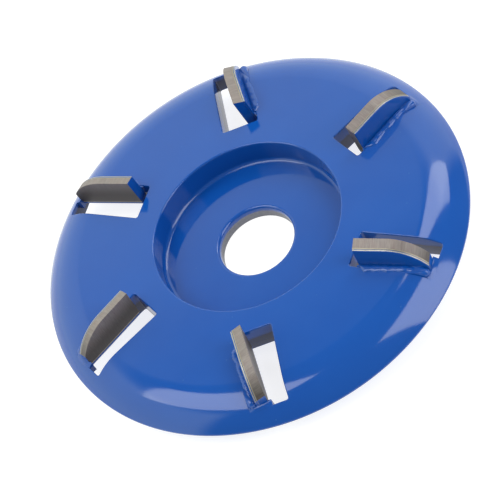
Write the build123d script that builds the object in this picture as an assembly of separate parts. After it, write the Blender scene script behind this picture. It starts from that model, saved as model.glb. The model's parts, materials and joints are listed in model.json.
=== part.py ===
from build123d import *
import os
from math import cos, radians, sin, sqrt, tan

# Six-tooth carving disc for an angle grinder, in millimetres.
# Z = 0 is the back clamping face of the hub, Z runs along the bore towards the toothed face,
# and tooth 1 lies along +X. The teeth cut anticlockwise as seen from the toothed face.

# Disc body, turned from one steel blank
disc_d = 125.0            # over the rim
bore_d = 22.23            # standard 7/8 inch bore, for the flange of an M14 spindle
hub_floor_t = 4.4         # steel clamped between the grinder's two flanges
recess_d = 55.4           # round recess that hides the clamping nut
recess_depth = 8.0        # toothed face down to the recess floor
hub_wall = 4.2            # steel between the recess and the outside of the hub
plate_t = 8.2             # toothed plate around the hub
crown_r = 14.6            # rounded band that falls from the flat face to the rim
rim_t = 0.6               # thin edge left at the rim
bevel_w = 4.0             # radial width of the bevel on the back of the rim
bevel_drop = 1.5          # height of that bevel

# Edge rounding on the body
mouth_r = 0.5             # mouth of the recess
floor_fillet_r = 1.2      # foot of the recess wall
bore_edge_r = 0.5         # painted upper edge of the bore
hub_edge_r = 0.6          # outer edge of the back clamping face
hub_root_r = 1.6          # hub meeting the back of the plate
rim_edge_r = 0.2          # both edges of the rim

# Slots that the teeth stand in
tooth_count = 6
slot_w = 10.8             # across the slot
slot_trail = 9.65         # radial line through the disc's centre to the slot's trailing wall
slot_hub_web = 7.3        # recess wall to the slot's inner end
slot_rim_web = 4.2        # slot's outer end to the rim
slot_corner_r = 0.6

# Teeth: a steel holder carries a brazed-on carbide insert, and is welded into the slot
tooth_stand = 7.3         # cutting edge above the flat face
tooth_sink = 4.0          # foot of the holder below the flat face
insert_t = 2.45           # carbide, front to back
braze_t = 0.3             # braze between the carbide and its seat
holder_wall = 0.6         # steel behind the carbide
holder_ledge = 0.9        # steel under the carbide
tooth_lean = 4.0          # degrees that the front face leans forwards
tooth_skew = 5.0          # degrees that the outer end leads the inner end
land_relief = 18.0        # degrees that the ground top falls away behind the cutting edge
land_level = 9.0          # straight inner stretch of the cutting edge
land_arc_r = 13.0         # round outer stretch of the cutting edge
inner_gap = 2.4           # slot's inner end to the tooth
outer_gap = 0.7           # tooth to the slot's outer end
root_gap = 0.2            # slot's trailing wall to the nearest corner of the holder

# Weld behind each tooth
weld_r = 1.35             # radius of the bead
weld_depth = 3.0          # how deep it fills the slot behind the holder
weld_inset = 1.2          # bead stops this far short of the tooth's ends

# Places worked out from the sizes above
disc_r = disc_d / 2
bore_r = bore_d / 2
recess_r = recess_d / 2
hub_r = recess_r + hub_wall
face_z = hub_floor_t + recess_depth
plate_z = face_z - plate_t
crown_drop = plate_t - rim_t - bevel_drop
flat_r = disc_r - sqrt(crown_r ** 2 - (crown_r - crown_drop) ** 2)
crown_z = face_z - crown_r
rim_rounding = min(rim_edge_r, rim_t / 3)
slot_in = recess_r + slot_hub_web
slot_out = disc_r - slot_rim_web
slot_mid = (slot_in + slot_out) / 2
tooth_in = slot_in + inner_gap
lean_run = tan(radians(tooth_lean))
skew_cos = cos(radians(tooth_skew))
skew_sin = sin(radians(tooth_skew))
holder_t = insert_t + braze_t + holder_wall
foot_back = holder_t + (tooth_stand + tooth_sink) * lean_run
tooth_len = (slot_out - outer_gap - tooth_in - foot_back * skew_sin) / skew_cos
tooth_front = foot_back * skew_cos + root_gap - slot_trail
margin = 20.0             # cutters reach this far past what they cut


def surface_z(radius):
    # height of the toothed side, flat as far as the rounded band
    return crown_z + sqrt(crown_r ** 2 - max(0.0, radius - flat_r) ** 2)


def body_blank():
    corners = [
        (bore_r, 0.0, 0.0),
        (hub_r, 0.0, hub_edge_r),
        (hub_r, plate_z, hub_root_r),
        (disc_r - bevel_w, plate_z, 0.0),
        (disc_r, plate_z + bevel_drop, rim_rounding),
        (disc_r, face_z - crown_drop, rim_rounding),
        (disc_r, face_z, 0.0),
        (recess_r, face_z, mouth_r),
        (recess_r, hub_floor_t, floor_fillet_r),
        (bore_r, hub_floor_t, bore_edge_r),
    ]
    outline = make_face(Polyline([(r, z) for r, z, _ in corners], close=True))
    inside = Pos(flat_r / 2, face_z / 2) * Rectangle(flat_r, face_z)
    outline &= inside + Pos(flat_r, crown_z) * Circle(crown_r)
    for r, z, rounding in corners:
        if rounding > 0:
            corner = outline.vertices().sort_by_distance(Vector(r, z))[0]
            outline = fillet(corner, rounding)
    return revolve(Plane.XZ * outline, axis=Axis.Z)


def slot_block():
    # the slot of tooth 1, taller than the plate
    block = Box(slot_out - slot_in, slot_w, plate_t + 2 * margin)
    block = fillet(block.edges().filter_by(Axis.Z), slot_corner_r)
    return Pos(slot_mid, slot_w / 2 - slot_trail, face_z) * block


def slab(front, back, low, high, spare=0.0):
    # part of a tooth between two planes parallel to its leaning front face: X runs out along the
    # cutting edge, Y is the cutting direction, and Z is measured from the flat face
    low_shift = (tooth_stand - low) * lean_run
    high_shift = (tooth_stand - high) * lean_run
    section = Polyline(
        (-front - low_shift, low),
        (-front - high_shift, high),
        (-back - high_shift, high),
        (-back - low_shift, low),
        close=True,
    )
    end_plane = Plane.YZ.offset(-spare)
    return extrude(end_plane * make_face(section), amount=tooth_len + 2 * spare)


def under_land():
    # everything under the ground top: level, then round, and falling away behind the edge
    relief = radians(land_relief)
    arc_z = tooth_stand - land_arc_r
    level = Pos(land_level - margin, tooth_stand - margin) * Rectangle(2 * margin, 2 * margin)
    end = Pos(land_level, arc_z) * Circle(land_arc_r)
    below = Pos(land_level, arc_z - margin) * Rectangle(2 * land_arc_r, 2 * margin)
    rise = margin * tan(relief)
    shape = Plane.XZ.offset(-margin) * Pos(0, rise) * (level + end + below)
    return extrude(shape, amount=2 * margin / cos(relief), dir=(0, -cos(relief), -sin(relief)))


def seat_tooth(piece):
    # from the tooth's own frame to the slot of tooth 1
    return Pos(tooth_in, tooth_front, face_z) * Rot(0, 0, tooth_skew) * piece


def rod(start, end, radius):
    along = end - start
    return Solid.make_cylinder(radius, along.length, Plane(origin=start, z_dir=along))


def tooth_pieces():
    land = under_land()
    seat_z = holder_ledge - tooth_sink
    bar = slab(0, holder_t, -tooth_sink, tooth_stand) & land
    pocket = slab(-margin, insert_t + braze_t, seat_z, tooth_stand + margin, margin)
    insert = slab(0, insert_t, seat_z + braze_t, tooth_stand) & land
    holder = bar - pocket
    braze = (bar & pocket) - insert
    return seat_tooth(holder), seat_tooth(insert), seat_tooth(braze)


def weld_bead(blank, slot):
    # root that fills the slot behind the holder, and a round bead along the seam
    behind = seat_tooth(slab(holder_t, holder_t + slot_w, -weld_depth, 0))
    root = behind & slot & blank
    seam_shift = (tooth_stand * lean_run + holder_t) * skew_cos
    points = []
    first = tooth_in + weld_inset
    last = slot_out - outer_gap - weld_inset
    flat_end = sqrt(flat_r ** 2 - slot_trail ** 2)
    flat_end = min(max(flat_end, first + weld_r), last - 2 * weld_r)
    for u in (first, flat_end, (flat_end + last) / 2, last):
        holder_back = tooth_front + (u - tooth_in) * skew_sin / skew_cos - seam_shift
        v = (holder_back - slot_trail) / 2
        points.append(Vector(u, v, surface_z(sqrt(u ** 2 + v ** 2))))
    bead = Pos(*points[0]) * Sphere(weld_r)
    for start, end in zip(points, points[1:]):
        bead += rod(start, end, weld_r)
        bead += Pos(*end) * Sphere(weld_r)
    in_front = seat_tooth(slab(-margin, holder_t, -margin, margin, margin))
    return bead - (blank - slot) - in_front + root


def write(shape, name):
    solid = shape.solids().sort_by(SortBy.VOLUME)[-1]
    solid.label = name
    export_step(solid, "parts/" + name + ".step")


os.makedirs("parts", exist_ok=True)
blank = body_blank()
slot = slot_block()
holder, insert, braze = tooth_pieces()
bead = weld_bead(blank, slot)
disc = blank
for index in range(tooth_count):
    turn = Rot(0, 0, index * 360 / tooth_count)
    number = str(index + 1)
    disc -= turn * slot
    write(turn * holder, "tooth_holder_" + number)
    write(turn * insert, "carbide_insert_" + number)
    write(turn * braze, "braze_layer_" + number)
    write(turn * bead, "weld_bead_" + number)
write(disc, "disc_body")
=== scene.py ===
import json
from math import asin, cos, hypot, pi, radians, sin, sqrt, tan

import bmesh
import bpy
from mathutils import Matrix, Vector


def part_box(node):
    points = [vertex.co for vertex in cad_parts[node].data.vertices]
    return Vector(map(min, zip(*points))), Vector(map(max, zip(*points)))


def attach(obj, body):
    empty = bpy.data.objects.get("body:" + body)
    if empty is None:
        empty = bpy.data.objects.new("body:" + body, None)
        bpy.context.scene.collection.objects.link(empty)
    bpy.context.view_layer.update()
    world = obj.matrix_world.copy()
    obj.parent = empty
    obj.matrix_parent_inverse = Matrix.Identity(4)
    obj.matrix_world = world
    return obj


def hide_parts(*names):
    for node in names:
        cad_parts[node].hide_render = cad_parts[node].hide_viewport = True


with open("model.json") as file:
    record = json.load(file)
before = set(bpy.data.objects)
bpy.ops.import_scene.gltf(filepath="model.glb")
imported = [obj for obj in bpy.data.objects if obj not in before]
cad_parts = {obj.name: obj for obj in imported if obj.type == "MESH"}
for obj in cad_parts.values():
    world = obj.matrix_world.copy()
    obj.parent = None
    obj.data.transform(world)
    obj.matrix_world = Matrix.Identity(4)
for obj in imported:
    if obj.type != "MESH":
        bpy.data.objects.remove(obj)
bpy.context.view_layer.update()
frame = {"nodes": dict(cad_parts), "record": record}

# Angle grinder carving disc: enamelled steel body, six brazed carbide teeth, rippled welds.
# Sizes in the dictionaries are millimetres and degrees, and mm() turns them into metres.

millimetre = 0.001
toothCount = 6
discLow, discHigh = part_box("disc_body")
boreMount = next(m for m in frame["record"]["mounts"] if m["name"] == "bore")


def mm(size):
    return size * millimetre


discSizes = {
    "rimRadius": discHigh.x / millimetre,
    "faceHeight": discHigh.z / millimetre,
    "boreRadius": boreMount["dims"]["r_mm"],
    "recessRadius": 27.7,
    "recessFloor": 4.4,
    "hubRadius": 31.9,
    "plateBack": 4.2,
    "crownRadius": 14.6,      # rounded band that falls from the flat face to the rim
    "rimFront": 6.3,
    "rimBack": 5.7,
    "backBevel": 4.0,
    "mouthRounding": 0.5,
    "floorRounding": 1.2,
    "boreRounding": 0.9,
    "boreBackRounding": 0.15,
    "hubRounding": 0.6,
    "hubRootRounding": 1.6,
    "rimRounding": 0.2,
}
slotSizes = {
    "inner": 35.0,
    "outer": 58.3,
    "width": 10.8,
    "trailing": 9.65,         # radial line to the trailing wall
    "cornerRadius": 0.6,
    "frontLip": 0.32,         # paint rounds off the edges of the slot
    "backLip": 0.2,
    "sideSteps": 28,
    "endSteps": 12,
    "cornerSteps": 6,
    "lipSteps": 5,
}
toothSizes = {
    "inner": 37.4,
    "front": -5.33,
    "skew": 5.0,
    "landRelief": 18.0,
    "holderThickness": 3.35,
    "lean": 4.0,
    "stand": 7.3,
}

crownFall = discSizes["faceHeight"] - discSizes["rimFront"]
crownWidth = sqrt(discSizes["crownRadius"] ** 2 - (discSizes["crownRadius"] - crownFall) ** 2)
flatRadius = discSizes["rimRadius"] - crownWidth


def faceHeightAt(radius):
    # toothed side, flat as far as the crown
    inCrown = max(0.0, radius - flatRadius)
    drop = discSizes["crownRadius"] - sqrt(max(0.0, discSizes["crownRadius"] ** 2 - inCrown ** 2))
    return discSizes["faceHeight"] - drop


def backHeightAt(radius):
    # back of the plate, with the bevel under the rim
    bevelSlope = (discSizes["rimBack"] - discSizes["plateBack"]) / discSizes["backBevel"]
    inBevel = max(0.0, radius - discSizes["rimRadius"] + discSizes["backBevel"])
    return discSizes["plateBack"] + inBevel * bevelSlope


def toothTurn(number):
    return Matrix.Rotation(2 * pi * (number - 1) / toothCount, 4, "Z")


def toothPlace(number):
    # X runs out along the cutting edge, Y is the cutting direction, Z stands on the flat face
    seat = Matrix.Translation((mm(toothSizes["inner"]), mm(toothSizes["front"]), discHigh.z))
    return toothTurn(number) @ seat @ Matrix.Rotation(radians(toothSizes["skew"]), 4, "Z")


# Node helpers

def addNode(tree, kind, **settings):
    made = tree.nodes.new(kind)
    for name, value in settings.items():
        setattr(made, name, value)
    return made


def feed(tree, socket, value):
    if isinstance(value, bpy.types.NodeSocket):
        tree.links.new(value, socket)
    else:
        socket.default_value = value


def maths(tree, operation, *values, clamp=False, kind="ShaderNodeMath"):
    made = addNode(tree, kind, operation=operation, use_clamp=clamp)
    for socket, value in zip(made.inputs, values):
        feed(tree, socket, value)
    return made.outputs[0]


def vectorMaths(tree, operation, *values, output=0):
    made = addNode(tree, "ShaderNodeVectorMath", operation=operation)
    for socket, value in zip(made.inputs, values):
        feed(tree, socket, value)
    return made.outputs[output]


def ramp(tree, value, low, high, outLow=0.0, outHigh=1.0, shape="SMOOTHSTEP"):
    made = addNode(tree, "ShaderNodeMapRange", interpolation_type=shape)
    for socket, given in zip(made.inputs, (value, low, high, outLow, outHigh)):
        feed(tree, socket, given)
    return made.outputs[0]


def noise(tree, place, scale, detail=2.0, roughness=0.5, distortion=0.0):
    made = addNode(tree, "ShaderNodeTexNoise", normalize=True)
    feed(tree, made.inputs["Vector"], place)
    feed(tree, made.inputs["Scale"], scale)
    made.inputs["Detail"].default_value = detail
    made.inputs["Roughness"].default_value = roughness
    made.inputs["Distortion"].default_value = distortion
    return made.outputs["Fac"]


def mixColours(tree, factor, first, second, blend="MIX"):
    made = addNode(tree, "ShaderNodeMix", data_type="RGBA", blend_type=blend)
    feed(tree, made.inputs[0], factor)
    feed(tree, made.inputs[6], first)
    feed(tree, made.inputs[7], second)
    return made.outputs[2]


def mixValues(tree, factor, first, second):
    made = addNode(tree, "ShaderNodeMix", data_type="FLOAT")
    feed(tree, made.inputs[0], factor)
    feed(tree, made.inputs[2], first)
    feed(tree, made.inputs[3], second)
    return made.outputs[0]


def newGroup(name, kind, inputs, outputs):
    group = bpy.data.node_groups.new(name, kind)
    for socketName, socketType, value in inputs:
        socket = group.interface.new_socket(socketName, in_out="INPUT", socket_type=socketType)
        if value is not None:
            socket.default_value = value
    for socketName, socketType in outputs:
        group.interface.new_socket(socketName, in_out="OUTPUT", socket_type=socketType)
    return group, addNode(group, "NodeGroupInput"), addNode(group, "NodeGroupOutput")


def useGroup(tree, group, **values):
    made = addNode(tree, "ShaderNodeGroup", node_tree=group)
    for name, value in values.items():
        feed(tree, made.inputs[name], value)
    return made


# Shared surface effects

def makeOrangePeel():
    group, given, result = newGroup(
        "orangePeel", "ShaderNodeTree",
        [
            ("Place", "NodeSocketVector", None),
            ("peelSize", "NodeSocketFloat", mm(1.1)),
            ("peelDepth", "NodeSocketFloat", mm(0.002)),
            ("sagSize", "NodeSocketFloat", mm(7.0)),
            ("sagDepth", "NodeSocketFloat", mm(0.01)),
        ],
        [("Height", "NodeSocketFloat")],
    )
    place = given.outputs["Place"]
    peelScale = maths(group, "DIVIDE", 1.0, given.outputs["peelSize"])
    sagScale = maths(group, "DIVIDE", 1.0, given.outputs["sagSize"])
    peel = maths(group, "MULTIPLY", noise(group, place, peelScale, 1.0), given.outputs["peelDepth"])
    sag = maths(group, "MULTIPLY", noise(group, place, sagScale, 0.0), given.outputs["sagDepth"])
    feed(group, result.inputs["Height"], maths(group, "ADD", peel, sag))
    return group


def makeDust():
    # specks are pinpoint nibs in the paint, cloud is a slow change over the surface
    group, given, result = newGroup(
        "paintDust", "ShaderNodeTree",
        [
            ("Place", "NodeSocketVector", None),
            ("speckSpacing", "NodeSocketFloat", mm(5.0)),
            ("speckSize", "NodeSocketFloat", 0.05),
            ("cloudSize", "NodeSocketFloat", mm(18.0)),
        ],
        [("Specks", "NodeSocketFloat"), ("Cloud", "NodeSocketFloat")],
    )
    place = given.outputs["Place"]
    cells = addNode(group, "ShaderNodeTexVoronoi", feature="F1")
    feed(group, cells.inputs["Vector"], place)
    feed(group, cells.inputs["Scale"], maths(group, "DIVIDE", 1.0, given.outputs["speckSpacing"]))
    speck = ramp(group, cells.outputs["Distance"], 0.0, given.outputs["speckSize"], 1.0, 0.0)
    cloudScale = maths(group, "DIVIDE", 1.0, given.outputs["cloudSize"])
    feed(group, result.inputs["Specks"], speck)
    feed(group, result.inputs["Cloud"], noise(group, place, cloudScale, 3.0))
    return group


def makeGrindLines():
    # scratches run along Y of the place that comes in, and vary along X
    group, given, result = newGroup(
        "grindLines", "ShaderNodeTree",
        [
            ("Place", "NodeSocketVector", None),
            ("lineSpacing", "NodeSocketFloat", mm(0.25)),
            ("lineLength", "NodeSocketFloat", mm(4.0)),
            ("bandSpacing", "NodeSocketFloat", mm(2.2)),
            ("lineDepth", "NodeSocketFloat", mm(0.004)),
        ],
        [("Shade", "NodeSocketFloat"), ("Bands", "NodeSocketFloat"), ("Height", "NodeSocketFloat")],
    )
    across = maths(group, "DIVIDE", 1.0, given.outputs["lineSpacing"])
    along = maths(group, "DIVIDE", 1.0, given.outputs["lineLength"])
    wide = maths(group, "DIVIDE", 1.0, given.outputs["bandSpacing"])
    parts = addNode(group, "ShaderNodeSeparateXYZ")
    feed(group, parts.inputs[0], given.outputs["Place"])

    def stretched(xScale, yScale):
        joined = addNode(group, "ShaderNodeCombineXYZ")
        feed(group, joined.inputs[0], maths(group, "MULTIPLY", parts.outputs[0], xScale))
        feed(group, joined.inputs[1], maths(group, "MULTIPLY", parts.outputs[1], yScale))
        feed(group, joined.inputs[2], maths(group, "MULTIPLY", parts.outputs[2], yScale))
        return joined.outputs[0]

    lines = noise(group, stretched(across, along), 1.0, 3.0, 0.7)
    bands = noise(group, stretched(wide, along), 1.0, 1.0)
    feed(group, result.inputs["Shade"], ramp(group, lines, 0.3, 0.7, shape="LINEAR"))
    feed(group, result.inputs["Bands"], ramp(group, bands, 0.3, 0.7, shape="LINEAR"))
    feed(group, result.inputs["Height"], maths(group, "MULTIPLY", lines, given.outputs["lineDepth"]))
    return group


orangePeel = makeOrangePeel()
paintDust = makeDust()
grindLines = makeGrindLines()


# Finishes

enamelLook = {
    "colour": (0.004, 0.072, 0.35, 1),
    "deepColour": (0.0025, 0.056, 0.30, 1),
    "speckColour": (0.03, 0.13, 0.36, 1),
    "slotShadeColour": (0.0012, 0.012, 0.07, 1),      # painted shade: the walls of the slots are darkened where shade falls
    "slotRoughness": 0.2,
    "slotFrom": 34.0,
    "slotTo": 58.6,
    "slotDepth": 1.2,
    "roughness": 0.07,
    "roughnessSpread": 0.03,
    "refraction": 1.5,
}
steelLook = {
    "colour": (0.22, 0.225, 0.26, 1),
    "darkColour": (0.10, 0.105, 0.125, 1),
    "roughness": 0.4,
    "turningPitch": 0.22,
    "turningDepth": 0.006,
    "paintCreep": 1.7,        # paint reaches this far down the bore
}
carbideLook = {
    "landColour": (0.150, 0.134, 0.136, 1),
    "warmColour": (0.162, 0.118, 0.118, 1),
    "paleColour": (0.26, 0.23, 0.22, 1),
    "roughness": 0.42,
    "metal": 0.3,
    "paintedFootShade": 0.3,        # painted shade: share of the colour left at the foot of the tooth, down in the slot
    "footHeight": 7.5,
}
groundSteelLook = {
    "colour": (0.40, 0.385, 0.34, 1),
    "darkColour": (0.27, 0.26, 0.235, 1),
    "roughness": 0.42,
}
brazeLook = {
    "colour": (0.36, 0.33, 0.27, 1),
    "darkColour": (0.22, 0.20, 0.16, 1),
    "roughness": 0.42,
}


def newMaterial(name):
    material = bpy.data.materials.new(name)
    material.use_nodes = True
    tree = material.node_tree
    shader = tree.nodes["Principled BSDF"]
    return material, tree, shader


def objectPlace(tree):
    return addNode(tree, "ShaderNodeTexCoord").outputs["Object"]


def bumpFrom(tree, height, shader):
    bump = addNode(tree, "ShaderNodeBump")
    bump.inputs["Strength"].default_value = 1.0
    bump.inputs["Distance"].default_value = 1.0
    feed(tree, bump.inputs["Height"], height)
    feed(tree, shader.inputs["Normal"], bump.outputs["Normal"])


def enamelParts(tree, place, peelDepth, sagDepth):
    # colour, roughness and height of the gloss blue enamel
    dust = useGroup(tree, paintDust, Place=place)
    peel = useGroup(tree, orangePeel, Place=place, peelDepth=mm(peelDepth), sagDepth=mm(sagDepth))
    cloudy = mixColours(tree, dust.outputs["Cloud"], enamelLook["deepColour"], enamelLook["colour"])
    speckled = mixColours(tree, dust.outputs["Specks"], cloudy, enamelLook["speckColour"])
    rough = ramp(
        tree, dust.outputs["Cloud"], 0.3, 0.7,
        enamelLook["roughness"], enamelLook["roughness"] + enamelLook["roughnessSpread"],
    )
    nib = maths(tree, "MULTIPLY", dust.outputs["Specks"], mm(0.012))
    height = maths(tree, "ADD", peel.outputs["Height"], nib)
    return speckled, rough, height


def makeToothEnamel(name, peelDepth, sagDepth):
    material, tree, shader = newMaterial(name)
    colour, rough, height = enamelParts(tree, objectPlace(tree), peelDepth, sagDepth)
    feed(tree, shader.inputs["Base Color"], colour)
    feed(tree, shader.inputs["Roughness"], rough)
    shader.inputs["IOR"].default_value = enamelLook["refraction"]
    bumpFrom(tree, height, shader)
    return material


def makeBodyEnamel():
    # enamel all over, with bare turned steel inside the bore and painted shade on the walls of the slots
    material, tree, shader = newMaterial("bodyEnamel")
    place = objectPlace(tree)
    colour, rough, height = enamelParts(tree, place, 0.0022, 0.012)
    parts = addNode(tree, "ShaderNodeSeparateXYZ")
    feed(tree, parts.inputs[0], place)
    flat = addNode(tree, "ShaderNodeCombineXYZ")
    feed(tree, flat.inputs[0], parts.outputs[0])
    feed(tree, flat.inputs[1], parts.outputs[1])
    radius = vectorMaths(tree, "LENGTH", flat.outputs[0], output=1)
    ragged = noise(tree, place, 1 / mm(1.6), 3.0)
    raggedEdge = maths(tree, "MULTIPLY_ADD", ragged, mm(0.7), parts.outputs[2])
    paintEdge = mm(discSizes["recessFloor"] - steelLook["paintCreep"])
    below = ramp(tree, raggedEdge, paintEdge, paintEdge + mm(0.8), 1.0, 0.0)
    boreRadius = mm(discSizes["boreRadius"])
    inBore = ramp(tree, radius, boreRadius + mm(0.05), boreRadius + mm(0.2), 1.0, 0.0)
    bare = maths(tree, "MULTIPLY", below, inBore)
    groovesPerMetre = 2 * pi / mm(steelLook["turningPitch"])
    turned = maths(tree, "SINE", maths(tree, "MULTIPLY", parts.outputs[2], groovesPerMetre))
    grain = noise(tree, place, 1 / mm(0.8), 4.0, 0.7)
    steel = mixColours(tree, grain, steelLook["darkColour"], steelLook["colour"])
    steelHeight = maths(tree, "MULTIPLY", turned, mm(steelLook["turningDepth"]))
    # painted shade: the enamel is darkened and dulled on the walls of the slots, below the face
    fromInside = ramp(tree, radius, mm(enamelLook["slotFrom"]), mm(enamelLook["slotFrom"] + 0.5))
    toOutside = ramp(tree, radius, mm(enamelLook["slotTo"]), mm(enamelLook["slotTo"] + 0.2), 1.0, 0.0)
    wallTop = mm(faceHeightAt(enamelLook["slotTo"]) - enamelLook["slotDepth"])
    wallFoot = mm(discSizes["plateBack"])
    underTop = ramp(tree, parts.outputs[2], wallTop - mm(0.6), wallTop + mm(0.6), 1.0, 0.0)
    overFoot = ramp(tree, parts.outputs[2], wallFoot + mm(0.15), wallFoot + mm(0.4))
    inRing = maths(tree, "MULTIPLY", fromInside, toOutside)
    inSlot = maths(tree, "MULTIPLY", maths(tree, "MULTIPLY", underTop, overFoot), inRing)
    slotShaded = mixColours(tree, inSlot, colour, enamelLook["slotShadeColour"])
    dullness = mixValues(tree, inSlot, rough, enamelLook["slotRoughness"])
    feed(tree, shader.inputs["Base Color"], mixColours(tree, bare, slotShaded, steel))
    feed(tree, shader.inputs["Roughness"], mixValues(tree, bare, dullness, steelLook["roughness"]))
    feed(tree, shader.inputs["Metallic"], bare)
    shader.inputs["IOR"].default_value = enamelLook["refraction"]
    bumpFrom(tree, mixValues(tree, bare, height, steelHeight), shader)
    return material


def toothVector(tree):
    made = addNode(tree, "ShaderNodeAttribute", attribute_name="toothPlace", attribute_type="GEOMETRY")
    return made.outputs["Vector"]


def makeCarbide():
    material, tree, shader = newMaterial("groundCarbide")
    lines = useGroup(tree, grindLines, Place=toothVector(tree))
    banded = mixColours(tree, lines.outputs["Bands"], carbideLook["warmColour"], carbideLook["landColour"])
    lined = mixColours(tree, lines.outputs["Shade"], banded, carbideLook["paleColour"])
    parts = addNode(tree, "ShaderNodeSeparateXYZ")
    feed(tree, parts.inputs[0], toothVector(tree))
    # painted shade: the carbide is darkened towards its foot, where it sits down in the slot
    shade = ramp(tree, parts.outputs[2], 0.0, mm(carbideLook["footHeight"]), carbideLook["paintedFootShade"], 1.0)
    shaded = mixColours(tree, shade, (0, 0, 0, 1), lined)
    feed(tree, shader.inputs["Base Color"], shaded)
    feed(tree, shader.inputs["Roughness"], ramp(
        tree, lines.outputs["Shade"], 0.0, 1.0, carbideLook["roughness"], carbideLook["roughness"] + 0.12))
    shader.inputs["Metallic"].default_value = carbideLook["metal"]
    bumpFrom(tree, lines.outputs["Height"], shader)
    return material


def makeGroundMetal(name, look):
    material, tree, shader = newMaterial(name)
    lines = useGroup(tree, grindLines, Place=toothVector(tree), lineSpacing=mm(0.18))
    lined = mixColours(tree, lines.outputs["Shade"], look["darkColour"], look["colour"])
    feed(tree, shader.inputs["Base Color"], lined)
    feed(tree, shader.inputs["Roughness"], ramp(
        tree, lines.outputs["Bands"], 0.0, 1.0, look["roughness"], look["roughness"] + 0.1))
    shader.inputs["Metallic"].default_value = 0.9
    bumpFrom(tree, lines.outputs["Height"], shader)
    return material


def makeBraze():
    material, tree, shader = newMaterial("silverBraze")
    place = objectPlace(tree)
    blotch = noise(tree, place, 1 / mm(0.7), 4.0, 0.6)
    blotchy = mixColours(tree, blotch, brazeLook["darkColour"], brazeLook["colour"])
    feed(tree, shader.inputs["Base Color"], blotchy)
    feed(tree, shader.inputs["Roughness"], ramp(
        tree, blotch, 0.3, 0.7, brazeLook["roughness"], brazeLook["roughness"] + 0.15))
    shader.inputs["Metallic"].default_value = 0.9
    bumpFrom(tree, maths(tree, "MULTIPLY", blotch, mm(0.02)), shader)
    return material


bodyEnamel = makeBodyEnamel()
holderEnamel = makeToothEnamel("holderEnamel", 0.002, 0.02)
weldEnamel = makeToothEnamel("weldEnamel", 0.003, 0.03)
groundCarbide = makeCarbide()
groundSteel = makeGroundMetal("groundSteel", groundSteelLook)
silverBraze = makeBraze()
print("finishes made")


# Geometry helpers

def settle(piece, slotName, *nodeNames):
    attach(piece, "root")
    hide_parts(*nodeNames)
    return piece


def objectFrom(name, mesh):
    made = bpy.data.objects.new(name, mesh)
    bpy.context.scene.collection.objects.link(made)
    return made


def plainMesh(host, name):
    # the evaluated result of a host's Geometry Nodes, as a mesh of its own
    bpy.context.view_layer.update()
    evaluated = host.evaluated_get(bpy.context.evaluated_depsgraph_get())
    mesh = bpy.data.meshes.new_from_object(evaluated)
    mesh.name = name
    host.modifiers.clear()
    bpy.data.objects.remove(host)
    return mesh


def addTree(host, group, **values):
    modifier = host.modifiers.new("Shape", "NODES")
    modifier.node_group = group
    for item in group.interface.items_tree:
        if item.item_type == "SOCKET" and item.in_out == "INPUT" and item.name in values:
            modifier[item.identifier] = values[item.name]


def arcCorner(before, corner, after, rounding, steps):
    # points of a rounded corner between two straight lines
    if rounding <= 0:
        return [corner]
    point = Vector(corner)
    toBefore = (Vector(before) - point).normalized()
    toAfter = (Vector(after) - point).normalized()
    half = toBefore.angle(toAfter) / 2
    reach = rounding / tan(half)
    centre = point + (toBefore + toAfter).normalized() * (rounding / sin(half))
    first = point + toBefore * reach - centre
    last = point + toAfter * reach - centre
    turn = first.angle(last)
    points = []
    for step in range(steps + 1):
        share = step / steps
        mixed = first * sin((1 - share) * turn) + last * sin(share * turn)
        points.append(tuple(centre + mixed / sin(turn)))
    return points


# Disc body

def discProfile():
    size = discSizes
    rim = size["rimRadius"]
    fallAt = crownWidth - 0.5
    crownDrop = size["crownRadius"] - sqrt(size["crownRadius"] ** 2 - fallAt ** 2)
    nearRim = (rim - 0.5, size["faceHeight"] - crownDrop)
    corners = [
        ((size["boreRadius"], 0.0), size["boreBackRounding"], 2),
        ((size["hubRadius"], 0.0), size["hubRounding"], 4),
        ((size["hubRadius"], size["plateBack"]), size["hubRootRounding"], 6),
        ((rim - size["backBevel"], size["plateBack"]), 0.0, 1),
        ((rim, size["rimBack"]), size["rimRounding"], 3),
        ((rim, size["rimFront"]), size["rimRounding"], 4),
        (nearRim, 0.0, 1),
        ((size["recessRadius"], size["faceHeight"]), size["mouthRounding"], 5),
        ((size["recessRadius"], size["recessFloor"]), size["floorRounding"], 8),
        ((size["boreRadius"], size["recessFloor"]), size["boreRounding"], 5),
    ]
    crownSteps = 30
    endAngle = asin(fallAt / size["crownRadius"])
    crown = []
    for step in range(1, crownSteps + 1):
        angle = endAngle * (1 - step / crownSteps)
        height = size["faceHeight"] - size["crownRadius"] * (1 - cos(angle))
        crown.append((flatRadius + size["crownRadius"] * sin(angle), height))
    outline = []
    for place, (corner, rounding, steps) in enumerate(corners):
        before = corners[place - 1][0]
        after = corners[(place + 1) % len(corners)][0]
        if corner == (size["recessRadius"], size["faceHeight"]):
            before = (flatRadius, size["faceHeight"])
        outline += arcCorner(before, corner, after, rounding, steps)
        if corner == nearRim:
            outline += crown
    return outline


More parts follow.
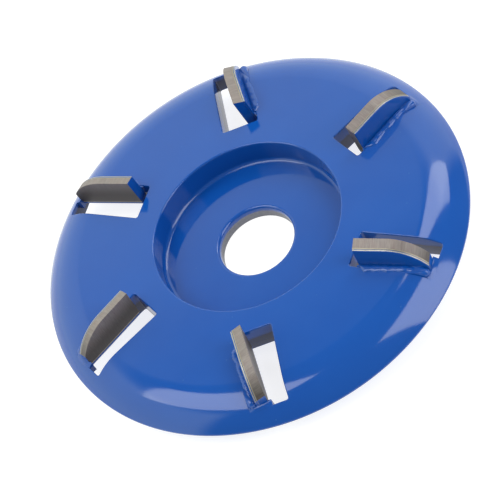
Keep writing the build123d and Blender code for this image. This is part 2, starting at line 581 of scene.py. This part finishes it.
def slotOutline(grow):
    # the slot of tooth 1 seen from above, grown outwards all round
    size = slotSizes
    low = size["width"] - size["trailing"]
    corners = [(size["inner"], -size["trailing"]), (size["outer"], -size["trailing"]),
               (size["outer"], low), (size["inner"], low)]
    centre = Vector(((size["inner"] + size["outer"]) / 2, low - size["width"] / 2))
    arcs = []
    for place, corner in enumerate(corners):
        inwards = Vector((1 if corner[0] < centre.x else -1, 1 if corner[1] < centre.y else -1))
        middle = Vector(corner) + inwards * size["cornerRadius"]
        start = radians(180 + 90 * place)
        radius = size["cornerRadius"] + grow
        arc = []
        for step in range(size["cornerSteps"] + 1):
            angle = start + radians(90) * step / size["cornerSteps"]
            arc.append(middle + Vector((cos(angle), sin(angle))) * radius)
        arcs.append(arc)
    outline = []
    for place, arc in enumerate(arcs):
        outline += arc
        following = arcs[(place + 1) % 4][0]
        steps = size["sideSteps"] if place % 2 == 0 else size["endSteps"]
        for step in range(1, steps):
            outline.append(arc[-1].lerp(following, step / steps))
    return outline


def slotCutter():
    # a column whose lips flare out where they meet the two faces of the plate
    size = slotSizes
    levels = []
    clear = 4.0
    levels.append((size["backLip"], lambda r: discLow.z / millimetre - clear))
    levels.append((size["backLip"], lambda r: backHeightAt(r) - 0.3))
    for step in range(size["lipSteps"]):
        angle = radians(80 * (1 - step / (size["lipSteps"] - 1)))
        grow = size["backLip"] * (1 - cos(angle))
        rise = size["backLip"] * (1 - sin(angle))
        levels.append((grow, lambda r, rise=rise: backHeightAt(r) + rise))
    for step in range(size["lipSteps"]):
        angle = radians(80 * step / (size["lipSteps"] - 1))
        grow = size["frontLip"] * (1 - cos(angle))
        sink = size["frontLip"] * (1 - sin(angle))
        levels.append((grow, lambda r, sink=sink: faceHeightAt(r) - sink))
    levels.append((size["frontLip"], lambda r: faceHeightAt(r) + 0.3))
    levels.append((size["frontLip"], lambda r: discHigh.z / millimetre + clear))
    shape = bmesh.new()
    rings = []
    for grow, heightAt in levels:
        ring = []
        for point in slotOutline(grow):
            height = heightAt(hypot(point.x, point.y))
            ring.append(shape.verts.new((mm(point.x), mm(point.y), mm(height))))
        rings.append(ring)
    for lower, upper in zip(rings, rings[1:]):
        for place in range(len(lower)):
            following = (place + 1) % len(lower)
            shape.faces.new((lower[place], lower[following], upper[following], upper[place]))
    shape.faces.new(list(reversed(rings[0])))
    shape.faces.new(rings[-1])
    mesh = bpy.data.meshes.new("slotCutter")
    shape.to_mesh(mesh)
    shape.free()
    return objectFrom("slotCutter", mesh)


def makeDiscTree():
    # turns the profile round the bore, then cuts the slots
    group, given, result = newGroup(
        "turnedDisc", "GeometryNodeTree",
        [
            ("Profile", "NodeSocketGeometry", None),
            ("ringRadius", "NodeSocketFloat", 0.04),
            ("turnSteps", "NodeSocketInt", 240),
            ("slotCutter", "NodeSocketObject", None),
            ("slotCount", "NodeSocketInt", toothCount),
            ("enamel", "NodeSocketMaterial", None),
        ],
        [("Disc", "NodeSocketGeometry")],
    )
    ring = addNode(group, "GeometryNodeCurvePrimitiveCircle", mode="RADIUS")
    feed(group, ring.inputs["Resolution"], given.outputs["turnSteps"])
    feed(group, ring.inputs["Radius"], given.outputs["ringRadius"])
    profile = addNode(group, "GeometryNodeMeshToCurve")
    feed(group, profile.inputs["Mesh"], given.outputs["Profile"])
    turned = addNode(group, "GeometryNodeCurveToMesh")
    feed(group, turned.inputs["Curve"], ring.outputs["Curve"])
    feed(group, turned.inputs["Profile Curve"], profile.outputs["Curve"])
    cutter = addNode(group, "GeometryNodeObjectInfo", transform_space="ORIGINAL")
    feed(group, cutter.inputs["Object"], given.outputs["slotCutter"])
    spots = addNode(group, "GeometryNodeMeshLine")
    feed(group, spots.inputs["Count"], given.outputs["slotCount"])
    spots.inputs["Offset"].default_value = (0, 0, 0)
    placed = addNode(group, "GeometryNodeInstanceOnPoints")
    feed(group, placed.inputs["Points"], spots.outputs["Mesh"])
    feed(group, placed.inputs["Instance"], cutter.outputs["Geometry"])
    index = addNode(group, "GeometryNodeInputIndex")
    step = maths(group, "DIVIDE", 2 * pi, given.outputs["slotCount"])
    turn = addNode(group, "ShaderNodeCombineXYZ")
    feed(group, turn.inputs[2], maths(group, "MULTIPLY", index.outputs[0], step))
    feed(group, placed.inputs["Rotation"], turn.outputs[0])
    cutters = addNode(group, "GeometryNodeRealizeInstances")
    feed(group, cutters.inputs["Geometry"], placed.outputs["Instances"])
    cut = addNode(group, "GeometryNodeMeshBoolean", operation="DIFFERENCE", solver="EXACT")
    feed(group, cut.inputs["Mesh 1"], turned.outputs["Mesh"])
    feed(group, cut.inputs["Mesh 2"], cutters.outputs["Geometry"])
    smooth = addNode(group, "GeometryNodeSetShadeSmooth")
    feed(group, smooth.inputs["Geometry"], cut.outputs["Mesh"])
    real = addNode(group, "GeometryNodeRealizeInstances")
    feed(group, real.inputs["Geometry"], smooth.outputs["Geometry"])
    painted = addNode(group, "GeometryNodeSetMaterial")
    feed(group, painted.inputs["Geometry"], real.outputs["Geometry"])
    feed(group, painted.inputs["Material"], given.outputs["enamel"])
    feed(group, result.inputs["Disc"], painted.outputs["Geometry"])
    return group


def faceNormal(point):
    # true normal of the toothed side, so that reflections run smoothly over the crown
    radius = hypot(point.x, point.y)
    lean = asin(min(1.0, max(0.0, radius - mm(flatRadius)) / mm(discSizes["crownRadius"])))
    return Vector((point.x / radius * sin(lean), point.y / radius * sin(lean), cos(lean)))


def smoothReflections(mesh):
    mesh.set_sharp_from_angle(angle=radians(38))
    near = mm(0.003)
    lowest = mm(discSizes["recessRadius"] + discSizes["mouthRounding"]) - near
    highest = mm(discSizes["rimRadius"] - 0.5)
    floorFrom = mm(discSizes["boreRadius"] + discSizes["boreRounding"]) - near
    floorTo = mm(discSizes["recessRadius"] - discSizes["floorRounding"]) + near
    exact = {}
    for vertex in mesh.vertices:
        radius = hypot(vertex.co.x, vertex.co.y)
        if floorFrom < radius < floorTo and abs(vertex.co.z - mm(discSizes["recessFloor"])) < near:
            exact[vertex.index] = Vector((0, 0, 1))
        if lowest < radius < highest and abs(vertex.co.z - mm(faceHeightAt(radius / millimetre))) < near:
            exact[vertex.index] = faceNormal(vertex.co)
    none = Vector((0, 0, 0))
    normals = [none] * len(mesh.loops)
    for face in mesh.polygons:
        if face.normal.z < 0.3:
            continue
        for loopIndex in face.loop_indices:
            normals[loopIndex] = exact.get(mesh.loops[loopIndex].vertex_index, none)
    mesh.normals_split_custom_set(normals)


def makeDiscBody():
    ringRadius = 45.0
    outline = discProfile()
    points = [(mm(radius - ringRadius), -mm(height), 0) for radius, height in outline]
    edges = [(place, (place + 1) % len(points)) for place in range(len(points))]
    mesh = bpy.data.meshes.new("discProfile")
    mesh.from_pydata(points, edges, [])
    host = objectFrom("discProfile", mesh)
    cutter = slotCutter()
    addTree(
        host, makeDiscTree(), ringRadius=mm(ringRadius), turnSteps=240,
        slotCutter=cutter, slotCount=toothCount, enamel=bodyEnamel,
    )
    body = plainMesh(host, "enamelledDisc")
    bpy.data.objects.remove(cutter)
    smoothReflections(body)
    return settle(objectFrom("enamelledDisc", body), "body_paint", "disc_body")


discBody = makeDiscBody()
print("disc body", len(discBody.data.polygons), "faces")


# Teeth

holderLook = {"bevel": 0.16, "bevelSteps": 3}
insertLook = {
    "bevel": 0.05,
    "bevelSteps": 2,
    "bareInnerEnd": (2,),     # teeth whose inner end kept no paint
}
brazeBevel = 0.02


def copyOf(nodeName, number, bevel, bevelSteps):
    # a clean copy of a tooth part, with its sharp edges eased
    source = frame["nodes"][nodeName].data
    mesh = bpy.data.meshes.new(nodeName + "Eased")
    mesh.from_pydata([v.co for v in source.vertices], [], [tuple(p.vertices) for p in source.polygons])
    shape = bmesh.new()
    shape.from_mesh(mesh)
    bmesh.ops.remove_doubles(shape, verts=shape.verts, dist=mm(0.002))
    bmesh.ops.dissolve_limit(shape, angle_limit=radians(0.6), verts=shape.verts, edges=shape.edges)
    sharp = [e for e in shape.edges if e.is_manifold and e.calc_face_angle(0) > radians(30)]
    bmesh.ops.bevel(
        shape, geom=sharp, offset=mm(bevel), offset_type="OFFSET", segments=bevelSteps,
        profile=0.5, affect="EDGES", clamp_overlap=True,
    )
    bmesh.ops.triangulate(shape, faces=[f for f in shape.faces if len(f.verts) > 4])
    shape.to_mesh(mesh)
    shape.free()
    toTooth = toothPlace(number).inverted()
    places = mesh.attributes.new("toothPlace", "FLOAT_VECTOR", "POINT")
    for vertex in mesh.vertices:
        places.data[vertex.index].vector = toTooth @ vertex.co
    mesh.shade_smooth()
    mesh.set_sharp_from_angle(angle=radians(35))
    return mesh


def toothNormal(face, number):
    return toothPlace(number).to_3x3().inverted() @ face.normal


def isGround(normal):
    # ground faces all hold the direction that the relief was ground along
    relief = radians(toothSizes["landRelief"])
    along = Vector((0, -cos(relief), -sin(relief)))
    return abs(normal.dot(along)) < 0.12 and normal.z > 0.15


def weighNormals(piece):
    weighted = piece.modifiers.new("Even", "WEIGHTED_NORMAL")
    weighted.keep_sharp = True
    weighted.weight = 80


def makeHolder(number):
    nodeName = f"tooth_holder_{number}"
    mesh = copyOf(nodeName, number, holderLook["bevel"], holderLook["bevelSteps"])
    mesh.materials.append(holderEnamel)
    mesh.materials.append(groundSteel)
    for face in mesh.polygons:
        face.material_index = 1 if isGround(toothNormal(face, number)) else 0
    piece = settle(objectFrom(f"toothHolder{number}", mesh), "holder_paint", nodeName)
    weighNormals(piece)
    return piece


def makePaintedEnds(kind, number, bare, bevel, bevelSteps, slotName):
    # bare metal, with enamel over the two ends
    nodeName = f"{kind}_{number}"
    mesh = copyOf(nodeName, number, bevel, bevelSteps)
    mesh.materials.append(bare)
    mesh.materials.append(holderEnamel)
    for face in mesh.polygons:
        outwards = toothNormal(face, number).x
        painted = outwards > 0.93 or (outwards < -0.7 and number not in insertLook["bareInnerEnd"])
        face.material_index = 1 if painted else 0
    weighNormals(settle(objectFrom(kind.replace("_", "") + str(number), mesh), slotName, nodeName))


for number in range(1, toothCount + 1):
    makeHolder(number)
    bevel, bevelSteps = insertLook["bevel"], insertLook["bevelSteps"]
    makePaintedEnds("carbide_insert", number, groundCarbide, bevel, bevelSteps, "carbide")
    makePaintedEnds("braze_layer", number, silverBraze, brazeBevel, 1, "braze")
print("teeth made")


# Welds

weldSizes = {
    "inset": 0.9,             # bead starts this far out from the tooth's inner end
    "overrun": 0.2,           # and runs this far past its outer end
    "outerGap": 0.7,
    "innerSize": 1.05,        # the bead grows thinner on the way out
    "outerSize": 0.7,
    "legAlong": 3.1,          # reach over the disc
    "legUp": 2.7,             # reach up the holder
    "bulge": 0.8,
    "rippleSpacing": 2.6,
    "rippleHeight": 0.03,
    "lumpSize": 3.2,
    "lumpHeight": 0.4,
    "stepLength": 0.16,
}
plugSizes = {
    # weld that closes the gap between the tooth's outer end and the end of the slot
    "inner": 57.0,
    "outer": 59.0,
    "back": -10.1,
    "front": -3.3,
    "depth": 5.0,
    "crest": 0.3,
    "edgeSink": 0.1,
    "steps": 10,
}


def makeWeldTree():
    # a rippled fillet of weld along a seam, as thick as the seam's own size says
    group, given, result = newGroup(
        "weldBead", "GeometryNodeTree",
        [
            ("Seam", "NodeSocketGeometry", None),
            ("stepLength", "NodeSocketFloat", mm(0.16)),
            ("legAlong", "NodeSocketFloat", mm(2.4)),
            ("legUp", "NodeSocketFloat", mm(2.1)),
            ("bulge", "NodeSocketFloat", mm(0.3)),
            ("rippleSpacing", "NodeSocketFloat", mm(1.7)),
            ("rippleHeight", "NodeSocketFloat", mm(0.15)),
            ("lumpSize", "NodeSocketFloat", mm(2.0)),
            ("lumpHeight", "NodeSocketFloat", mm(0.4)),
            ("seed", "NodeSocketInt", 1),
            ("enamel", "NodeSocketMaterial", None),
        ],
        [("Weld", "NodeSocketGeometry")],
    )
    path = addNode(group, "GeometryNodeMeshToCurve")
    feed(group, path.inputs["Mesh"], given.outputs["Seam"])
    even = addNode(group, "GeometryNodeResampleCurve", mode="LENGTH")
    feed(group, even.inputs["Curve"], path.outputs["Curve"])
    feed(group, even.inputs["Length"], given.outputs["stepLength"])
    upright = addNode(group, "GeometryNodeSetCurveNormal", mode="Z_UP")
    feed(group, upright.inputs["Curve"], even.outputs["Curve"])
    along = addNode(group, "GeometryNodeSplineParameter")
    noted = addNode(group, "GeometryNodeStoreNamedAttribute", data_type="FLOAT", domain="POINT")
    feed(group, noted.inputs["Geometry"], upright.outputs["Curve"])
    feed(group, noted.inputs["Name"], "seamLength")
    feed(group, noted.inputs["Value"], along.outputs["Length"])
    wander = addNode(group, "ShaderNodeTexNoise", noise_dimensions="1D", normalize=True)
    offset = maths(group, "MULTIPLY", given.outputs["seed"], 7.31)
    feed(group, wander.inputs["W"], maths(
        group, "MULTIPLY_ADD", along.outputs["Length"], 1 / mm(3.4), offset))
    wander.inputs["Scale"].default_value = 1.0
    wide = ramp(group, wander.outputs["Fac"], 0.2, 0.8, 0.85, 1.12, "LINEAR")
    beadSize = addNode(group, "GeometryNodeInputNamedAttribute", data_type="FLOAT")
    beadSize.inputs["Name"].default_value = "beadSize"
    profile = addNode(group, "GeometryNodeCurvePrimitiveQuadrilateral", mode="POINTS")
    legAlong, legUp = given.outputs["legAlong"], given.outputs["legUp"]
    bulge = given.outputs["bulge"]

    def corner(x, y):
        joined = addNode(group, "ShaderNodeCombineXYZ")
        feed(group, joined.inputs[0], x)
        feed(group, joined.inputs[1], y)
        return joined.outputs[0]

    sunk = mm(-0.5)
    middleX = maths(group, "MULTIPLY_ADD", legAlong, 0.45, bulge)
    middleY = maths(group, "MULTIPLY_ADD", legUp, 0.45, bulge)
    feed(group, profile.inputs["Point 1"], corner(sunk, sunk))
    feed(group, profile.inputs["Point 2"], corner(legAlong, sunk))
    feed(group, profile.inputs["Point 3"], corner(middleX, middleY))
    feed(group, profile.inputs["Point 4"], corner(sunk, legUp))
    rounded = addNode(group, "GeometryNodeFilletCurve", mode="POLY")
    feed(group, rounded.inputs["Curve"], profile.outputs["Curve"])
    rounded.inputs["Count"].default_value = 6
    rounded.inputs["Radius"].default_value = mm(1.4)
    rounded.inputs["Limit Radius"].default_value = True
    fine = addNode(group, "GeometryNodeResampleCurve", mode="COUNT")
    feed(group, fine.inputs["Curve"], rounded.outputs["Curve"])
    fine.inputs["Count"].default_value = 40
    swept = addNode(group, "GeometryNodeCurveToMesh")
    feed(group, swept.inputs["Curve"], noted.outputs["Geometry"])
    feed(group, swept.inputs["Profile Curve"], fine.outputs["Curve"])
    feed(group, swept.inputs["Scale"], maths(group, "MULTIPLY", beadSize.outputs[0], wide))
    swept.inputs["Fill Caps"].default_value = True
    # ripples left by the torch, and slow lumps of thick paint
    length = addNode(group, "GeometryNodeInputNamedAttribute", data_type="FLOAT")
    length.inputs["Name"].default_value = "seamLength"
    position = addNode(group, "GeometryNodeInputPosition")
    normal = addNode(group, "GeometryNodeInputNormal")
    lumps = addNode(group, "ShaderNodeTexNoise", noise_dimensions="4D", normalize=True)
    feed(group, lumps.inputs["Vector"], position.outputs[0])
    feed(group, lumps.inputs["W"], offset)
    feed(group, lumps.inputs["Scale"], maths(group, "DIVIDE", 1.0, given.outputs["lumpSize"]))
    lumps.inputs["Detail"].default_value = 1.5
    unevenness = maths(group, "SUBTRACT", lumps.outputs["Fac"], 0.5)
    lump = maths(group, "MULTIPLY", unevenness, given.outputs["lumpHeight"])
    bent = maths(group, "MULTIPLY_ADD", lumps.outputs["Fac"], 5.0, maths(
        group, "MULTIPLY", length.outputs[0], maths(group, "DIVIDE", 2 * pi, given.outputs["rippleSpacing"])))
    ripple = maths(group, "MULTIPLY", maths(group, "SINE", bent), given.outputs["rippleHeight"])
    rise = maths(group, "MULTIPLY", maths(group, "ADD", lump, ripple), beadSize.outputs[0])
    moved = addNode(group, "GeometryNodeSetPosition")
    feed(group, moved.inputs["Geometry"], swept.outputs["Mesh"])
    scaled = addNode(group, "ShaderNodeVectorMath", operation="SCALE")
    feed(group, scaled.inputs[0], normal.outputs[0])
    feed(group, scaled.inputs["Scale"], rise)
    feed(group, moved.inputs["Offset"], scaled.outputs[0])
    smooth = addNode(group, "GeometryNodeSetShadeSmooth")
    feed(group, smooth.inputs["Geometry"], moved.outputs["Geometry"])
    real = addNode(group, "GeometryNodeRealizeInstances")
    feed(group, real.inputs["Geometry"], smooth.outputs["Geometry"])
    painted = addNode(group, "GeometryNodeSetMaterial")
    feed(group, painted.inputs["Geometry"], real.outputs["Geometry"])
    feed(group, painted.inputs["Material"], given.outputs["enamel"])
    feed(group, result.inputs["Weld"], painted.outputs["Geometry"])
    return group


def seamPoints():
    # foot of tooth 1's back from the inner end outwards: (point, bead size)
    lean = tan(radians(toothSizes["lean"]))
    skew = radians(toothSizes["skew"])
    backShift = (toothSizes["stand"] * lean + toothSizes["holderThickness"]) / cos(skew)
    first = toothSizes["inner"] + weldSizes["inset"]
    last = slotSizes["outer"] - weldSizes["outerGap"] + weldSizes["overrun"]

    def onSeam(out):
        return Vector((out, toothSizes["front"] + (out - toothSizes["inner"]) * tan(skew) - backShift))

    flat = []
    steps = 26
    for step in range(steps + 1):
        share = step / steps
        size = weldSizes["innerSize"] + (weldSizes["outerSize"] - weldSizes["innerSize"]) * share
        size *= min(1.0, 0.3 + share / 0.1, 0.35 + (1 - share) / 0.08)
        flat.append((onSeam(first + (last - first) * share), size))
    return [(Vector((mm(p.x), mm(p.y), mm(faceHeightAt(p.length)))), size) for p, size in flat]


def addPlug(shape, number):
    # a low mound over the end gap, with straight sides going down into the slot
    size = plugSizes
    steps = size["steps"]
    rows = []
    for i in range(steps + 1):
        row = []
        for j in range(steps + 1):
            s, t = i / steps, j / steps
            out = size["inner"] + (size["outer"] - size["inner"]) * s
            across = size["back"] + (size["front"] - size["back"]) * t
            mound = sin(pi * s) * sin(pi * t) * (size["crest"] + size["edgeSink"])
            height = faceHeightAt(hypot(out, across)) - size["edgeSink"] + mound
            row.append(shape.verts.new(toothTurn(number) @ Vector((mm(out), mm(across), mm(height)))))
        rows.append(row)
    faces = [shape.faces.new((rows[i][j], rows[i + 1][j], rows[i + 1][j + 1], rows[i][j + 1]))
             for i in range(steps) for j in range(steps)]
    rim = [rows[i][0] for i in range(steps)] + [rows[steps][j] for j in range(steps)]
    rim += [rows[i][steps] for i in range(steps, 0, -1)] + [rows[0][j] for j in range(steps, 0, -1)]
    floor = discHigh.z - mm(size["depth"])
    under = [shape.verts.new((vertex.co.x, vertex.co.y, floor)) for vertex in rim]
    for place in range(len(rim)):
        following = (place + 1) % len(rim)
        faces.append(shape.faces.new((rim[following], rim[place], under[place], under[following])))
    faces.append(shape.faces.new(list(reversed(under))))
    bmesh.ops.recalc_face_normals(shape, faces=faces)
    for face in faces:
        face.smooth = True


def rootBlock(nodeName):
    # what the weld fills between the holder and the slot's wall, below the face
    source = frame["nodes"][nodeName].data
    shape = bmesh.new()
    vertices = [shape.verts.new(v.co) for v in source.vertices]
    for face in source.polygons:
        shape.faces.new([vertices[i] for i in face.vertices])
    bmesh.ops.remove_doubles(shape, verts=shape.verts, dist=mm(0.002))
    cut = bmesh.ops.bisect_plane(
        shape, geom=shape.verts[:] + shape.edges[:] + shape.faces[:],
        plane_co=(0, 0, discHigh.z - mm(0.08)), plane_no=(0, 0, 1), clear_outer=True,
    )
    edges = [g for g in cut["geom_cut"] if isinstance(g, bmesh.types.BMEdge)]
    bmesh.ops.holes_fill(shape, edges=edges)
    return shape


def makeWelds():
    tree = makeWeldTree()
    for number in range(1, toothCount + 1):
        nodeName = f"weld_bead_{number}"
        seam = seamPoints()
        mesh = bpy.data.meshes.new("seam")
        mesh.from_pydata([toothTurn(number) @ point for point, _ in seam],
                         [(i, i + 1) for i in range(len(seam) - 1)], [])
        sizes = mesh.attributes.new("beadSize", "FLOAT", "POINT")
        for vertex, (_, size) in enumerate(seam):
            sizes.data[vertex].value = size
        host = objectFrom(f"seam{number}", mesh)
        addTree(
            host, tree, stepLength=mm(weldSizes["stepLength"]), legAlong=mm(weldSizes["legAlong"]),
            legUp=mm(weldSizes["legUp"]), bulge=mm(weldSizes["bulge"]),
            rippleSpacing=mm(weldSizes["rippleSpacing"]), rippleHeight=mm(weldSizes["rippleHeight"]),
            lumpSize=mm(weldSizes["lumpSize"]), lumpHeight=mm(weldSizes["lumpHeight"]),
            seed=number, enamel=weldEnamel,
        )
        bead = plainMesh(host, f"weldBead{number}")
        shape = rootBlock(nodeName)
        addPlug(shape, number)
        shape.from_mesh(bead)
        shape.to_mesh(bead)
        shape.free()
        bead.set_sharp_from_angle(angle=radians(50))
        settle(objectFrom(f"weldBead{number}", bead), "weld_paint", nodeName)
        print("weld", number, len(bead.polygons), "faces")


makeWelds()


# Studio: floor, room, softboxes and camera

floorSettings = {
    "size": 8.0,
    "gap": 0.05,
    "colour": (0.35, 0.35, 0.35, 1),
    "glow": 0.8,              # backlit paper keeps the openings and the shadow pale
}
roomSettings = {
    # a long pale wall on one side of a dim room
    "tint": (1.0, 1.05, 0.9, 1),
    "dim": 0.3,
    "wall": 1.5,
    "wallAzimuth": 160,
    "wallHalfWidth": 85,
    "wallTop": 50,
    "blur": 10,
}
softboxes = {
    # azimuth and elevation in degrees, size in metres, roll in degrees, brightness
    "sideLight": {"azimuth": 80, "elevation": 50, "width": 0.9, "height": 0.3, "roll": 50, "brightness": 4.0},
    "frontLight": {"azimuth": 10, "elevation": 35, "width": 0.6, "height": 1.2, "roll": 0, "brightness": 4.0},
    "topLight": {"azimuth": 220, "elevation": 65, "width": 0.8, "height": 0.6, "roll": 30, "brightness": 4.0},
}
softboxDistance = 1.2

cameraSettings = {
    "target": (4.25, -7.94, 12.4),
    "azimuth": -42.92,
    "elevation": 49.856,
    "roll": -33.62,
    "distance": 576.1,
    "lens": 151.2,
    "sensor": 36.0,
}


def direction(azimuth, elevation):
    a, e = radians(azimuth), radians(elevation)
    return Vector((cos(e) * cos(a), cos(e) * sin(a), sin(e)))


def makeFloor():
    size = floorSettings["size"] / 2
    low = discLow.z - mm(floorSettings["gap"])
    mesh = bpy.data.meshes.new("floor")
    mesh.from_pydata([(-size, -size, low), (size, -size, low), (size, size, low), (-size, size, low)],
                     [], [(0, 1, 2, 3)])
    material, _, shader = newMaterial("paleFloor")
    shader.inputs["Base Color"].default_value = floorSettings["colour"]
    shader.inputs["Roughness"].default_value = 0.9
    shader.inputs["Specular IOR Level"].default_value = 0.1
    shader.inputs["Emission Color"].default_value = (1, 1, 1, 1)
    shader.inputs["Emission Strength"].default_value = floorSettings["glow"]
    mesh.materials.append(material)
    objectFrom("floor", mesh)


def makeSoftbox(name, settings):
    data = bpy.data.lights.new(name, "AREA")
    data.shape = "RECTANGLE"
    data.size = settings["width"]
    data.size_y = settings["height"]
    data.energy = settings["brightness"] * pi * settings["width"] * settings["height"]
    lamp = objectFrom(name, data)
    towards = direction(settings["azimuth"], settings["elevation"])
    aim = towards.to_track_quat("Z", "Y").to_matrix().to_4x4()
    roll = Matrix.Rotation(radians(settings["roll"]), 4, "Z")
    lamp.matrix_world = Matrix.Translation(towards * softboxDistance) @ aim @ roll
    lamp.visible_camera = False


def makeRoom():
    world = bpy.data.worlds.new("studio")
    bpy.context.scene.world = world
    world.use_nodes = True
    tree = world.node_tree
    size = roomSettings
    look = addNode(tree, "ShaderNodeTexCoord").outputs["Generated"]
    parts = addNode(tree, "ShaderNodeSeparateXYZ")
    feed(tree, parts.inputs[0], look)
    level = addNode(tree, "ShaderNodeCombineXYZ")
    feed(tree, level.inputs[0], parts.outputs[0])
    feed(tree, level.inputs[1], parts.outputs[1])
    outwards = vectorMaths(tree, "NORMALIZE", level.outputs[0])
    facing = vectorMaths(tree, "DOT_PRODUCT", outwards, direction(size["wallAzimuth"], 0), output=1)
    near, far = cos(radians(size["wallHalfWidth"])), cos(radians(size["wallHalfWidth"] + size["blur"]))
    beside = ramp(tree, facing, far, near)
    height = maths(tree, "ARCSINE", parts.outputs[2])
    low, high = radians(size["wallTop"] - size["blur"] / 2), radians(size["wallTop"] + size["blur"] / 2)
    under = ramp(tree, height, low, high, 1.0, 0.0)
    onWall = maths(tree, "MULTIPLY", beside, under)
    background = tree.nodes["Background"]
    background.inputs["Color"].default_value = size["tint"]
    feed(tree, background.inputs["Strength"], mixValues(tree, onWall, size["dim"], size["wall"]))


def makeCamera():
    data = bpy.data.cameras.new("camera")
    data.sensor_width = cameraSettings["sensor"]
    data.lens = cameraSettings["lens"]
    data.clip_start = 0.01
    data.clip_end = 50
    camera = objectFrom("camera", data)
    back = direction(cameraSettings["azimuth"], cameraSettings["elevation"])
    target = Vector(cameraSettings["target"]) * millimetre
    aim = back.to_track_quat("Z", "Y").to_matrix().to_4x4()
    roll = Matrix.Rotation(radians(cameraSettings["roll"]), 4, "Z")
    place = target + back * mm(cameraSettings["distance"])
    camera.matrix_world = Matrix.Translation(place) @ aim @ roll
    bpy.context.scene.camera = camera


makeFloor()
for name, settings in softboxes.items():
    makeSoftbox(name, settings)
makeRoom()
makeCamera()
bpy.context.scene.view_settings.view_transform = "Standard"
print("studio ready")
